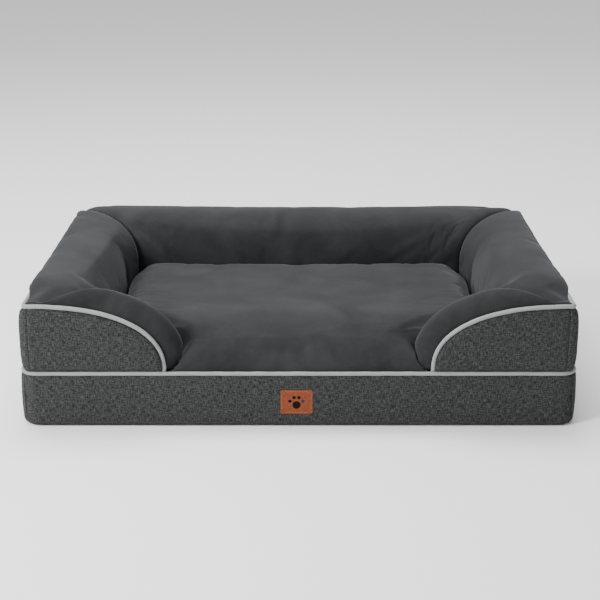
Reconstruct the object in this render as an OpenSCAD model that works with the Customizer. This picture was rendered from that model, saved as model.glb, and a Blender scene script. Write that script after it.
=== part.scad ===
// Sofa-style dog bed: a zipped foam base with a stuffed U-shaped bolster sewn round three sides.
// Millimetres. +Z is up, +X is the right-hand side seen from the open front, and the front faces -Y.
// The origin is on the floor, under the middle of the base.

/* [Base] */
// Outside width of the bed, left to right
bed_w = 762; // [600:1:1000]
// Outside depth of the bed, front to back
bed_d = 508; // [400:1:760]
// Height of the seam round the top of the base
base_h = 77; // [60:1:100]
// Radius of the base's upright corners
base_r = 24; // [14:1:40]
// Radius of the rolled edge along the bottom of the walls
edge_r = 8; // [5:1:14]
// Rise of the sleeping surface above the seam
crown = 45; // [24:1:55]
// Depth over which the sleeping surface rises from the front seam
front_roll = 130; // [60:1:170]
// Distance over which the sleeping surface rises beside the bolster
side_roll = 34; // [15:1:50]

/* [Bolster] */
// Height of the bolster's outer seam above the base seam
bolster_h = 95; // [75:1:130]
// Width of an arm at its front end
end_w = 193; // [150:1:236]
// Width of an arm just behind its front end
arm_w = 100; // [86:1:140]
// Width of the back bolster, and of an arm where it meets it
bolster_w = 114; // [90:1:150]
// Rise of the bolster's crown above its outer seam
crown_rise = 15; // [6:1:22]
// How far the arms' outer faces stand in from the base's sides
side_inset = 8; // [0:0.5:14]
// How far the end panels stand in from the base's front, and the back bolster from its back
front_inset = 3; // [0:0.5:10]
// Corner radius of the arms at the front
arm_front_r = 9; // [7:0.5:16]
// How far an arm's front lip swells past its end panel
lip_puff = 20; // [4:1:24]
// Distance from the front to the fullest part of the lip
lip_d = 46; // [25:1:60]
// Distance from the front to where an arm has narrowed to its running width
flare_d = 118; // [90:1:150]
// Corner radius of the bolster at the back
bolster_r = 36; // [16:1:60]

/* [Materials] */
// Thickness of the woven wall panels
wall_t = 2; // [1:0.1:3]
// Thickness of the plush panels
plush_t = 2.5; // [1.5:0.1:4]
// Thickness of the waterproof liner and of the bolster's bottom panel
liner_t = 0.8; // [0.5:0.1:1.5]
// Diameter of the piping on the base
base_piping = 5; // [3:0.5:7]
// Diameter of the piping on the bolster
arm_piping = 6; // [3:0.5:8]
// Thickness of the fibre wadding at its edge
wadding_edge = 3; // [2:0.5:5]
// How much thicker the wadding is in the middle
wadding_t = 12; // [4:1:18]
// Centre distance of the foam's egg-crate bumps
bump_pitch = 44; // [30:1:70]

/* [Label] */
// Width of the label
label_w = 44; // [20:1:80]
// Height of the label
label_h = 35; // [16:1:40]
// Thickness of the label
label_t = 1.6; // [1:0.1:3]
// Distance of the label's centre to the left of the bed's centre line
label_left = 3; // [0:1:100]

/* [Zips] */
// Length of the opening for the base zip
base_zip_l = 640; // [300:1:680]
// Length of the opening for the bolster zip
bolster_zip_l = 520; // [300:1:600]
// Height of the slot that shows each zip
zip_slot = 13; // [11:0.5:18]
// Width of one coil
coil_w = 2; // [1.5:0.1:3]
// Length of a pull tab from its pin
pull_l = 30; // [20:1:40]

/* [Hidden] */
$fn = 64;

half_w = bed_w / 2;
half_d = bed_d / 2;
arm_x = half_w - side_inset;      // outer face of the arms
arm_y = half_d - front_inset;     // outer face of the back bolster, and the end panels opposite it
arm_run = 2 * arm_y;
gap = 0.1;              // air left between neighbouring soft pieces
seam_gap = 0.2;         // air left beside a piping cord
zip_room = 6;           // depth kept free behind the back walls for the zip sliders

// Levels, from the floor up
wall_top = base_h - base_piping / 2;
bolster_z = base_h + base_piping / 2;          // where the bolster stands
panel_z = bolster_z - liner_t - 2 * gap;       // top of the sleeping panel's flat border
seam_z = base_h + bolster_h;                   // centre of the bolster's piping
seam_rise = seam_z - bolster_z;                // the same, above the bolster's underside
liner_z = panel_z - plush_t - wadding_edge - 2 * gap;   // top of the liner's flat border
liner_crown = crown - wadding_t;               // rise of the liner in the middle
foam_z = wall_t + gap + liner_t + gap;         // underside of the foam
foam_top = liner_z - liner_t - gap;            // top of the foam under the bolster

// Plan of the liner and the foam inside the base walls
inner_left = -half_w + wall_t + gap;
inner_front = -half_d + wall_t + gap;
inner_back = half_d - zip_room;
inner_r = base_r - wall_t;

// ---- small helpers

function mix(a, b, t) = a + (b - a) * t;
function clamp01(t) = min(1, max(0, t));
function ease(t) = let (c = clamp01(t)) c * c * (3 - 2 * c);
// Quarter-circle rise from 0 to 1
function round_rise(t) = let (c = 1 - clamp01(t)) sqrt(1 - c * c);
function unit(v) = v / norm(v);
function flat(lists) = [for (l = lists) each l];

module rounded_plate(x0, x1, y0, y1, r, t) {
    linear_extrude(t) rounded_rect(x0, x1, y0, y1, r);
}

module rounded_rect(x0, x1, y0, y1, r) {
    translate([x0 + r, y0]) square([x1 - x0 - 2 * r, y1 - y0]);
    translate([x0, y0 + r]) square([x1 - x0, y1 - y0 - 2 * r]);
    for (x = [x0 + r, x1 - r], y = [y0 + r, y1 - r]) translate([x, y]) circle(r);
}

// One side of a rounded rectangle: a profile run straight along Y, then half-way round each corner.
// The profile's X is measured outward from the corner centres, and its Y is height.
module side_band(length) {
    rotate([90, 0, 0]) linear_extrude(length, center = true) children();
    for (end = [0, 1]) mirror([0, end, 0])
        translate([0, length / 2, 0]) rotate_extrude(angle = 45) children();
}

// Moves a side band to one side of the base plan, 0 right, 90 back, 180 left and 270 front
module on_side(angle, r) {
    reach = (angle % 180 == 0 ? half_w : half_d) - r;
    rotate([0, 0, angle]) translate([reach, 0, 0]) children();
}

function side_length(angle, r) = (angle % 180 == 0 ? bed_d : bed_w) - 2 * r;

// ---- the base's walls and bottom

module wall_profile(r) {
    translate([r - wall_t, edge_r]) square([wall_t, wall_top - edge_r]);
    intersection() {
        translate([r - edge_r, edge_r]) difference() {
            circle(edge_r);
            circle(edge_r - wall_t);
        }
        translate([r - edge_r, 0]) square(edge_r);
    }
}

module base_wall(angle) {
    on_side(angle, base_r) side_band(side_length(angle, base_r)) wall_profile(base_r);
}

module base_front_wall() color("dimgray") base_wall(270);

module base_left_wall() color("dimgray") base_wall(180);

module base_right_wall() color("dimgray") base_wall(0);

module base_back_wall() color("dimgray") difference() {
    base_wall(90);
    translate([0, half_d, base_zip_z]) zip_opening(base_zip_l);
}

module base_bottom_panel() color("black")
    rounded_plate(-half_w + edge_r, half_w - edge_r, -half_d + edge_r, half_d - edge_r,
                  base_r - edge_r, wall_t);

module base_piping_cord() color("lightgray") for (angle = [0, 90, 180, 270]) on_side(angle, base_r) {
    length = side_length(angle, base_r);
    cord_x = base_r - base_piping / 2;
    translate([cord_x, 0, base_h]) rotate([90, 0, 0])
        cylinder(length, base_piping / 2, base_piping / 2, center = true, $fn = 32);
    translate([0, length / 2, base_h]) rotate_extrude(angle = 90)
        translate([cord_x, 0]) circle(d = base_piping, $fn = 32);
}

// ---- the foam, liner and sleeping surface

// Width of an arm's section, s behind the front
function arm_blend(s) = ease((s - lip_d) / (flare_d - lip_d));
function arm_width(s) = s < flare_d ? mix(end_w, arm_w, arm_blend(s))
    : mix(arm_w, bolster_w, clamp01((s - arm_run + turn_d) / (turn_d - corner_e)));
// Width that its foot takes at a place y behind the front, where the rings near the mitre have turned
function foot_width(y) = y < flare_d ? arm_width(y)
    : mix(arm_w, bolster_w, clamp01((y - arm_run + turn_d) / (turn_d - bolster_w - 8)));
function arm_puff(s) = lip_puff * round_rise(s / lip_d) * (1 - arm_blend(s));

// How much of its full rise the sleeping surface has at a point, from 0 to 1
crown_front = -half_d + base_piping + 2 * seam_gap;
crown_back = arm_y - bolster_w - 2;
function crown_half_width(y) = let (s = y + arm_y) arm_x - foot_width(s) - 0.8 * arm_puff(s) - 2;
function crown_share(x, y) =
    round_rise((crown_half_width(y) - abs(x)) / side_roll)
    * round_rise((y - crown_front) / front_roll)
    * round_rise((crown_back - y) / side_roll);

// The plan that the crowned layers are cut to, inside the base piping
cut_x = half_w - base_piping - seam_gap;
cut_y = half_d - base_piping - seam_gap;
cut_r = base_r - base_piping - seam_gap;
function cut_half_width(y) = let (d = max(0, cut_r - (cut_y - abs(y))))
    cut_x - cut_r + sqrt(cut_r * cut_r - d * d);

// The grid that every crowned layer shares. Rows run back from the front and columns from left to right.
roll_steps = [0, 0.02, 0.06, 0.12, 0.2, 0.3, 0.42, 0.56, 0.72, 0.86, 1];
back_steps = [1, 0.6, 0.3, 0.1, 0];
side_steps = [0, 0.05, 0.16, 0.36, 0.64, 1];
crown_middle_y = mix(crown_front + front_roll, crown_back - side_roll, 0.5);
crown_rows = concat(
    [-cut_y], [for (t = roll_steps) crown_front + t * front_roll], [crown_middle_y],
    [for (t = back_steps) crown_back - t * side_roll], [for (t = [1, 0.6, 0.3, 0.1, 0]) cut_y - t * cut_r]);
function crown_columns(y) = let (b = crown_half_width(y), reach = cut_half_width(y)) concat(
    [-reach], [for (t = side_steps) -b + t * side_roll], [0],
    [for (i = [len(side_steps) - 1 : -1 : 0]) b - side_steps[i] * side_roll], [reach]);

// A layer between two heights over the grid; each height has a border level and a rise
module crowned_layer(low, low_rise, high, high_rise) {
    nx = 2 * len(side_steps) + 3;
    ny = len(crown_rows);
    level = function (border, rise)
        [for (y = crown_rows) for (x = crown_columns(y)) [x, y, border + rise * crown_share(x, y)]];
    top = function (i, j) j * nx + i;
    under = function (i, j) nx * ny + j * nx + i;
    sheets = flat([for (j = [0 : ny - 2], i = [0 : nx - 2]) [
        [top(i, j), top(i, j + 1), top(i + 1, j)], [top(i + 1, j), top(i, j + 1), top(i + 1, j + 1)],
        [under(i, j), under(i + 1, j), under(i, j + 1)],
        [under(i + 1, j), under(i + 1, j + 1), under(i, j + 1)]]]);
    front_and_back = flat([for (i = [0 : nx - 2]) [
        [top(i, 0), top(i + 1, 0), under(i + 1, 0), under(i, 0)],
        [top(i + 1, ny - 1), top(i, ny - 1), under(i, ny - 1), under(i + 1, ny - 1)]]]);
    left_and_right = flat([for (j = [0 : ny - 2]) [
        [top(0, j + 1), top(0, j), under(0, j), under(0, j + 1)],
        [top(nx - 1, j), top(nx - 1, j + 1), under(nx - 1, j + 1), under(nx - 1, j)]]]);
    polyhedron(concat(level(high, high_rise), level(low, low_rise)),
               concat(sheets, front_and_back, left_and_right), convexity = 6);
}

module sleeping_panel() color("darkslategray")
    crowned_layer(panel_z - plush_t, crown, panel_z, crown);

module top_wadding() color("white")
    crowned_layer(liner_z + gap, liner_crown, panel_z - plush_t - gap, crown);

module liner_upper() color("aliceblue")
    crowned_layer(liner_z - liner_t, liner_crown, liner_z, liner_crown);

// A block that fits inside the base walls, inset from them all round. It steps in over their rolled edge.
module base_block(inset, bottom, top) {
    step = edge_r - wall_t;
    translate([0, 0, bottom]) rounded_plate(inner_left + step + inset, -inner_left - step - inset,
        inner_front + step + inset, inner_back - step - inset, inner_r - step - inset,
        edge_r - bottom + inset);
    translate([0, 0, edge_r + inset]) rounded_plate(inner_left + inset, -inner_left - inset,
        inner_front + inset, inner_back - inset, inner_r - inset, top - edge_r - inset);
}

module liner_lower() color("aliceblue") difference() {
    base_block(0, wall_t + gap, foam_top);
    base_block(liner_t, wall_t + gap + liner_t, foam_top + liner_t);
}

bump_r = bump_pitch * 0.46;
bump_tip_r = bump_pitch * 0.2;
least_bump = 6;
// Room for a bump under the liner, taken at the tightest place on its edge
function bump_height(x, y) = liner_crown
    * min([for (a = [0 : 45 : 315]) crown_share(x + bump_r * cos(a), y + bump_r * sin(a))]) - 1;

module foam_core() color("khaki") {
    inset = liner_t + gap;
    across = floor(half_w / bump_pitch);
    along = floor(half_d / bump_pitch);
    union() {
        base_block(inset, foam_z, foam_top);
        for (i = [-across : across], j = [-along : along]) {
            x = i * bump_pitch;
            y = j * bump_pitch;
            h = bump_height(x, y);
            if (h > least_bump) translate([x, y, foam_top - 1]) cylinder(h + 1, bump_r, bump_tip_r, $fn = 32);
        }
    }
}

// ---- the label and the care tag

label_z = wall_top / 2;
label_r = 3;
motif_depth = 0.5;
motif_t = 0.3;

// Places its children on the front wall, with X to the right, Y up and Z outward
module on_front(depth = 0) {
    translate([-label_left, -half_d - gap - depth, label_z]) rotate([90, 0, 0]) children();
}

// A plain paw print: one broad pad with four toes over it
paw = label_h / 35;
module paw_print(grow = 0) {
    translate([0, -4.5 * paw]) circle(5.6 * paw + grow);
    for (toe = [[-9, 1], [-3.4, 6.4], [3.4, 6.4], [9, 1]])
        translate([toe.x * paw, toe.y * paw]) circle(2.4 * paw + grow);
}

module label_patch() color("sienna") on_front() difference() {
    rounded_plate(-label_w / 2, label_w / 2, -label_h / 2, label_h / 2, label_r, label_t);
    translate([0, 0, label_t - motif_depth]) linear_extrude(motif_depth + 1) paw_print();
}

module label_motif() color("black")
    on_front(label_t - motif_depth) linear_extrude(motif_t) paw_print(-0.05);

stitch = [2.2, 0.6, 0.4];
stitch_pitch = 3.2;
stitch_inset = 2;
module stitch_row(length) {
    count = floor((length - 2 * label_r) / stitch_pitch);
    for (i = [0 : count - 1]) translate([(i - (count - 1) / 2) * stitch_pitch, 0, 0])
        translate([-stitch.x / 2, -stitch.y / 2, 0]) cube(stitch);
}

module label_stitches() color("saddlebrown") on_front(label_t) {
    for (end = [-1, 1]) {
        translate([0, end * (label_h / 2 - stitch_inset), 0]) stitch_row(label_w - 2 * stitch_inset);
        translate([end * (label_w / 2 - stitch_inset), 0, 0]) rotate(90)
            stitch_row(label_h - 2 * stitch_inset);
    }
}

tag = [22, 0.6, 34];
module care_tag() color("white")
    translate([-base_zip_l / 2 - tag.x - 5, half_d + gap, base_h - tag.z]) cube(tag);

// ---- the bolster's section and its rings

cover_start = arm_piping + seam_gap;        // where the plush begins, inward of the piping and behind it
ring_points = 16;
end_power = 2 / 2.35;
ring_steps = [for (k = [0 : ring_points - 1]) k / (ring_points - 1)];

// The outline of an arm's front end: a flattened quarter ellipse from the outer seam to the inner foot
function end_curve(f, w, h, start = 0) =
    [start + (w - start) * pow(sin(90 * f), end_power), h * pow(cos(90 * f), end_power)];

// The running section: a Bezier curve over the crown
function running_curve(f, w, h, start) =
    pow(1 - f, 3) * [start, h]
    + 3 * pow(1 - f, 2) * f * [w * 0.22, h + 2.1 * crown_rise]
    + 3 * (1 - f) * f * f * [w * 1.05, h + 1.1 * crown_rise]
    + pow(f, 3) * [w, 0];

crease = 5;                                  // depth of the crease behind the lip
function crease_at(s) = crease * sin(180 * clamp01((s - lip_d) / (flare_d - lip_d)));
function section_point(f, s) = let (
    ends = end_curve(f, arm_width(s), seam_rise, cover_start),
    runs = running_curve(f, arm_width(s), seam_rise, cover_start),
    swell = (arm_puff(s) - crease_at(s)) * pow(max(0, sin(180 * f)), 0.6))
    mix(ends, runs, arm_blend(s)) + swell * [sin(90 * f), cos(90 * f)];

// The same point moved into the bolster by the cover's thickness
function lining_point(f, s) = let (
    d = 0.002,
    along = section_point(min(1, f + d), s) - section_point(max(0, f - d), s),
    out = f > 0.999 ? [1, 0] : unit([-along.y, along.x]))
    section_point(f, s) - plush_t * out;

// The back corner is rounded: e is how far the outer face has drawn in, dist short of the square corner
corner_e = bolster_r * (1 - sqrt(0.5));
function draw_in(dist) = dist >= bolster_r ? 0
    : bolster_r - sqrt(pow(bolster_r, 2) - pow(bolster_r - dist, 2));
function inward(a, dist) = a + max(0, 1 - a / bolster_w) * draw_in(dist);

// How far a ring has turned towards the mitre, 0 square across to 1 at 45 degrees
turn_d = bolster_w * 1.5;
function turn(dist) = clamp01((turn_d - dist) / (turn_d - corner_e));

// A point of the left arm: s behind the front on the outer face, a inward and z above the bolster's foot
function arm_place(p, s) = let (dist = arm_run - s, a = inward(p.x, dist))
    [-arm_x + a, -arm_y + s - turn(dist) * (a - draw_in(dist)), bolster_z + p.y];

// A point of the back bolster: u to the right of the square corner on the outer face
function back_place(p, u) = let (
    left = u < arm_x, dist = left ? u : 2 * arm_x - u, a = inward(p.x, dist),
    x = dist + turn(dist) * (a - draw_in(dist)))
    [left ? -arm_x + x : arm_x - x, arm_y - a, bolster_z + p.y];

arm_stations = concat(
    [for (t = [0, 0.12, 0.3, 0.6, 1]) mix(cover_start, lip_d, t)],
    [for (t = [1/6 : 1/6 : 5/6]) mix(lip_d, flare_d, t)],
    [flare_d, arm_run - turn_d, arm_run - bolster_r, arm_run - bolster_r * 0.6, arm_run - corner_e]);
back_stations = concat(
    [corner_e, bolster_r * 0.6, bolster_r, turn_d],
    [2 * arm_x - turn_d, 2 * arm_x - bolster_r, 2 * arm_x - bolster_r * 0.6, 2 * arm_x - corner_e]);

// A solid through rings of equal length; each end is closed by a fan from its last point
module lofted(rings) {
    n = len(rings[0]);
    m = len(rings);
    sides = flat([for (i = [0 : m - 2], k = [0 : n - 1]) let (a = i * n + k, b = i * n + (k + 1) % n)
        [[a, b, a + n], [b, b + n, a + n]]]);
    ends = flat([for (k = [0 : n - 3])
        [[n - 1, k + 1, k], [m * n - 1, (m - 1) * n + k, (m - 1) * n + k + 1]]]);
    polyhedron(flat(rings), concat(sides, ends), convexity = 6);
}

// A skin between an outer and an inner row of points on each ring
module skin(outer, inner) {
    n = len(outer[0]);
    m = len(outer);
    o = function (i, k) i * n + k;
    l = function (i, k) (m + i) * n + k;
    faces = concat(
        flat([for (i = [0 : m - 2], k = [0 : n - 2]) [
            [o(i, k), o(i, k + 1), o(i + 1, k)], [o(i, k + 1), o(i + 1, k + 1), o(i + 1, k)],
            [l(i, k), l(i + 1, k), l(i, k + 1)], [l(i, k + 1), l(i + 1, k), l(i + 1, k + 1)]]]),
        flat([for (i = [0 : m - 2]) [
            [o(i + 1, 0), l(i + 1, 0), l(i, 0)], [o(i + 1, 0), l(i, 0), o(i, 0)],
            [o(i, n - 1), l(i, n - 1), l(i + 1, n - 1)], [o(i, n - 1), l(i + 1, n - 1), o(i + 1, n - 1)]]]),
        flat([for (k = [0 : n - 2]) [
            [o(0, k), l(0, k), l(0, k + 1)], [o(0, k), l(0, k + 1), o(0, k + 1)],
            [o(m - 1, k), l(m - 1, k + 1), l(m - 1, k)], [o(m - 1, k), o(m - 1, k + 1), l(m - 1, k + 1)]]]));
    polyhedron(concat(flat(outer), flat(inner)), faces, convexity = 6);
}

module arm_cover_left() skin(
    [for (s = arm_stations) [for (f = ring_steps) arm_place(section_point(f, s), s)]],
    [for (s = arm_stations) [for (f = ring_steps) arm_place(lining_point(f, s), s)]]);

running_s = arm_run;
module back_bolster_cover() color("darkslategray") skin(
    [for (u = back_stations) [for (f = ring_steps) back_place(section_point(f, running_s), u)]],
    [for (u = back_stations) [for (f = ring_steps) back_place(lining_point(f, running_s), u)]]);

// The fill's ring: up the outer wall, over under the cover's lining and down to the foot
fill_top = seam_rise - arm_piping;
fill_in = wall_t + gap;
function fill_ring(s, outer) = concat(
    [[outer, fill_top]],
    [for (f = ring_steps) let (p = lining_point(f, s)) [max(p.x, outer) - f * gap, max(0, p.y - gap)]],
    [[outer, 0]]);
// How far the inner face of a rounded corner of radius r stands in, dist short of the square corner
function corner_lining(r, dist) = r - sqrt(max(0, pow(r - fill_in, 2) - pow(r - dist, 2)));
// Outer face of an arm's fill, drawn in round the front corner and kept inside the back one
function fill_outer(s) = let (dist = arm_run - s)
    s < arm_front_r ? corner_lining(arm_front_r, s)
    : dist < bolster_r ? (corner_lining(bolster_r, dist) - draw_in(dist)) / (1 - draw_in(dist) / bolster_w)
    : fill_in;
// The part of the fill in front of the cover, inside the end panel and its piping
nose_ring = concat(
    [[arm_front_r, fill_top - 1]],
    [for (f = ring_steps) end_curve(f, end_w - cover_start - 1, fill_top - 1, arm_front_r + 1)],
    [[arm_front_r, 0]]);

module arm_fill_left() lofted(concat(
    [for (s = [fill_in, cover_start - gap]) [for (p = nose_ring) arm_place(p, s)]],
    [for (s = concat([cover_start + gap], [for (i = [1 : len(arm_stations) - 1]) arm_stations[i]]))
        [for (p = fill_ring(s, fill_outer(s))) arm_place(p, s)]]));

module back_bolster_fill() color("white")
    lofted([for (u = back_stations) [for (p = fill_ring(running_s, zip_room)) back_place(p, u)]]);

// ---- the bolster's woven panels

panel_foot = bolster_z + seam_gap;
panel_top = seam_z - arm_piping / 2 - seam_gap;

// The upright section of a side panel, whose outer face is r from the corner's centre
module side_profile(r) {
    translate([r - wall_t, panel_foot]) square([wall_t, panel_top - panel_foot]);
}

// Straight along the side, quarter-way round the front corner and half-way round the back one
module arm_side_left() mirror([1, 0, 0]) {
    length = arm_run - bolster_r - arm_front_r;
    translate([arm_x, -arm_y + arm_front_r + length / 2, 0]) rotate([90, 0, 0])
        linear_extrude(length, center = true) side_profile(0);
    translate([arm_x - bolster_r, arm_y - bolster_r, 0]) rotate_extrude(angle = 45) side_profile(bolster_r);
    translate([arm_x - arm_front_r, -arm_y + arm_front_r, 0]) rotate([0, 0, -90])
        rotate_extrude(angle = 90) side_profile(arm_front_r);
}

module arm_end_left() {
    w = end_w - arm_piping - seam_gap;
    h = panel_top - panel_foot;
    foot_x = arm_front_r + gap;
    steps = 20;
    outline = [for (i = [1 : steps]) end_curve(i / steps, w, h, foot_x)];
    translate([-arm_x, -arm_y + wall_t, panel_foot]) rotate([90, 0, 0])
        linear_extrude(wall_t) polygon(concat([[foot_x, 0], [foot_x, h]], outline));
}

module back_bolster_side() color("dimgray") difference() {
    translate([0, arm_y - bolster_r, 0]) rotate([0, 0, 90])
        side_band(2 * (arm_x - bolster_r)) side_profile(bolster_r);
    translate([0, arm_y, bolster_zip_z]) zip_opening(bolster_zip_l);
}

// The flat panel that closes the bolster underneath
module bolster_bottom_panel() color("gray") {
    edge = base_piping + seam_gap + 1;
    steps = concat([edge, lip_d], [for (t = [0.25 : 0.25 : 1]) mix(lip_d, flare_d, t)], [arm_run - turn_d]);
    left = concat(
        [[-arm_x + edge + corner_e, arm_y - edge - corner_e / 2],
         [-arm_x + edge + corner_e / 2, arm_y - edge - corner_e], [-arm_x + edge, arm_y - bolster_r],
         [-arm_x + edge, -arm_y + edge]],
        [for (s = steps) [-arm_x + arm_width(s) - 1, -arm_y + s]],
        [[-arm_x + bolster_w - 1, arm_y - bolster_w + 1]]);
    right = [for (i = [len(left) - 1 : -1 : 0]) [-left[i].x, left[i].y]];
    translate([0, 0, bolster_z - liner_t - gap]) linear_extrude(liner_t) polygon(concat(left, right));
}

module left_arm_cover() color("darkslategray") arm_cover_left();

module left_arm_side() color("dimgray") arm_side_left();

module left_arm_end() color("dimgray") arm_end_left();

module left_arm_fill() color("white") arm_fill_left();

module right_arm_cover() color("darkslategray") mirror([1, 0, 0]) arm_cover_left();

module right_arm_side() color("dimgray") mirror([1, 0, 0]) arm_side_left();

module right_arm_end() color("dimgray") mirror([1, 0, 0]) arm_end_left();

module right_arm_fill() color("white") mirror([1, 0, 0]) arm_fill_left();

// ---- the bolster's piping

cord_sides = 8;
cord_r = arm_piping / 2;
front_turn = arm_front_r - cord_r;
back_turn = bolster_r - cord_r;
// Half of the route: up and over the left end panel, round the front corner and back to the back bolster
route_half = concat(
    [[-arm_x + end_w - cord_r, -arm_y + cord_r, panel_foot]],
    [for (f = [0.96 : -0.06 : 0.05]) let (p = end_curve(f, end_w - cord_r, seam_rise, arm_front_r))
        [-arm_x + p.x, -arm_y + cord_r, bolster_z + p.y]],
    [for (a = [0 : 22.5 : 90])
        [-arm_x + cord_r + front_turn * (1 - sin(a)), -arm_y + cord_r + front_turn * (1 - cos(a)), seam_z]],
    [for (a = [0 : 15 : 90])
        [-arm_x + bolster_r - back_turn * cos(a), arm_y - bolster_r + back_turn * sin(a), seam_z]]);
cord_route = concat(route_half,
    [for (i = [len(route_half) - 1 : -1 : 0]) let (p = route_half[i]) [-p.x, p.y, p.z]]);

function tangent(path, i) = unit(path[min(i + 1, len(path) - 1)] - path[max(i - 1, 0)]);

// A tube along a path; the ring's start direction is carried along it so that the tube doesn't twist
module tube(path, r) {
    first = cross(tangent(path, 0), [0, 1, 0]);
    starts = [for (i = 0, v = unit(first); i < len(path);
        i = i + 1, v = i < len(path) ? let (t = tangent(path, i)) unit(v - (v * t) * t) : v) v];
    rings = [for (i = [0 : len(path) - 1]) let (t = tangent(path, i), u = starts[i], v = cross(t, u))
        [for (k = [0 : cord_sides - 1]) let (a = 360 * k / cord_sides)
            path[i] + r * (cos(a) * u + sin(a) * v)]];
    lofted([for (ring = rings) [for (k = [cord_sides - 1 : -1 : 0]) ring[k]]]);
}

module bolster_piping_cord() color("lightgray") tube(cord_route, cord_r);

// ---- the zips, drawn about a point on the outer face of a back wall and run along X

base_zip_z = wall_top / 2 + edge_r / 2;
bolster_zip_z = bolster_z + zip_slot / 2 + 12;
tape_t = 0.8;
tape_w = 14;
tape_y = -wall_t - gap;            // outer face of the tapes
coil_t = 1.6;
coil_y = tape_y + coil_t;          // outer face of the coils
web_gap = 0.8;                     // half the space between the two coils
stop_l = 4;
slider_l = 11;
slider_w = 9;
plate_t = 1.2;
slide_clear = 0.4;
plate_y = coil_y + slide_clear;    // inner face of the slider's outer plate
slider_park = stop_l + slider_l / 2 + 1.5;   // from the end of the opening to the closed slider's centre
pin_r = 0.9;
pin_y = plate_y + plate_t + pin_r + slide_clear;
arch_w = 2.2;
arch_t = 1.2;
arch_gap = 2 * (pin_r + slide_clear);
arch_l = 8.6;
pull_w = 6.6;
pull_t = 1.6;
pull_arm = 6.5;
pull_arm_w = 1.5;

// Places its children on the base's zip or the bolster's
module at_base_zip() translate([0, half_d, base_zip_z]) children();

module at_bolster_zip() translate([0, arm_y, bolster_zip_z]) children();

module both_sides() {
    children();
    mirror([0, 0, 1]) children();
}

module zip_opening(length) {
    translate([-length / 2, -wall_t - 1, -zip_slot / 2]) cube([length, wall_t + 2, zip_slot]);
}

module zip_tapes(length) both_sides()
    translate([-length / 2 - 8, tape_y - tape_t, web_gap]) cube([length + 16, tape_t, tape_w]);

module zip_coils(length) both_sides()
    translate([-length / 2 + stop_l, tape_y, web_gap]) cube([length - 2 * stop_l, coil_t, coil_w]);

module zip_stops(length) for (end = [0, 1]) mirror([end, 0, 0])
    translate([length / 2 - stop_l, tape_y, -web_gap - coil_w])
        cube([stop_l, coil_t, 2 * (web_gap + coil_w)]);

// The outer plate with its two lips, the web between the coils, and the inner plate behind the tapes
module zip_slider(length) translate([length / 2 - slider_park, 0, 0]) {
    back_y = tape_y - tape_t - slide_clear - plate_t;
    slider_plate(plate_y);
    slider_plate(back_y);
    both_sides() translate([-slider_l / 2 + 2, tape_y + slide_clear, slider_w / 2 - 1])
        cube([slider_l - 4, plate_y - tape_y - slide_clear + 0.2, 1]);
    translate([-slider_l / 2 + 3, back_y + plate_t / 2, -web_gap / 2])
        cube([slider_l - 6, plate_y - back_y, web_gap]);
    slider_arch();
}

module slider_plate(y) {
    nose = 3;
    half = [[-slider_l / 2, slider_w / 2 - 1], [-slider_l / 2 + 1, slider_w / 2],
            [slider_l / 2 - nose, slider_w / 2], [slider_l / 2, slider_w / 2 - nose / 2]];
    translate([0, y + plate_t, 0]) rotate([90, 0, 0]) linear_extrude(plate_t)
        polygon(concat(half, [for (i = [3 : -1 : 0]) [half[i].x, -half[i].y]]));
}

module slider_arch() {
    foot_y = plate_y + plate_t - 0.1;
    post = 1.4;
    for (end = [0, 1]) mirror([end, 0, 0])
        translate([arch_l / 2 - post, foot_y, -arch_w / 2]) cube([post, arch_gap + 0.2, arch_w]);
    translate([-arch_l / 2, foot_y + arch_gap + 0.1, -arch_w / 2]) cube([arch_l, arch_t, arch_w]);
}

// The pull: a pin under the arch, an arm on either side of it, and the tab
module zip_pull(length) translate([length / 2 - slider_park, pin_y, 0]) {
    cylinder(pull_w, pin_r, pin_r, center = true, $fn = 32);
    both_sides() translate([0, -pull_t / 2, pull_w / 2 - pull_arm_w])
        cube([pull_arm, pull_t, pull_arm_w]);
    translate([pull_arm - 0.5, -pull_t / 2, -pull_w / 2])
        cube([pull_l - pull_arm + 0.5 - pull_w / 2, pull_t, pull_w]);
    translate([pull_l - pull_w / 2, 0, 0]) rotate([90, 0, 0])
        cylinder(pull_t, pull_w / 2, pull_w / 2, center = true, $fn = 32);
}

module base_zip_tapes() color("black") at_base_zip() zip_tapes(base_zip_l);

module base_zip_coils() color("black") at_base_zip() zip_coils(base_zip_l);

module base_zip_stops() color("silver") at_base_zip() zip_stops(base_zip_l);

module base_zip_slider() color("silver") at_base_zip() zip_slider(base_zip_l);

module base_zip_pull() color("silver") at_base_zip() zip_pull(base_zip_l);

module bolster_zip_tapes() color("black") at_bolster_zip() zip_tapes(bolster_zip_l);

module bolster_zip_coils() color("black") at_bolster_zip() zip_coils(bolster_zip_l);

module bolster_zip_stops() color("silver") at_bolster_zip() zip_stops(bolster_zip_l);

module bolster_zip_slider() color("silver") at_bolster_zip() zip_slider(bolster_zip_l);

module bolster_zip_pull() color("silver") at_bolster_zip() zip_pull(bolster_zip_l);

// ---- what each node draws

base_bottom_panel();
base_front_wall();
base_left_wall();
base_right_wall();
base_back_wall();
base_piping_cord();
sleeping_panel();
top_wadding();
foam_core();
liner_upper();
liner_lower();
base_zip_tapes();
base_zip_coils();
base_zip_stops();
base_zip_slider();
base_zip_pull();
label_patch();
label_motif();
label_stitches();
care_tag();
bolster_bottom_panel();
left_arm_cover();
left_arm_side();
left_arm_end();
left_arm_fill();
right_arm_cover();
right_arm_side();
right_arm_end();
right_arm_fill();
back_bolster_cover();
back_bolster_side();
back_bolster_fill();
bolster_piping_cord();
bolster_zip_tapes();
bolster_zip_coils();
bolster_zip_stops();
bolster_zip_slider();
bolster_zip_pull();
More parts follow.
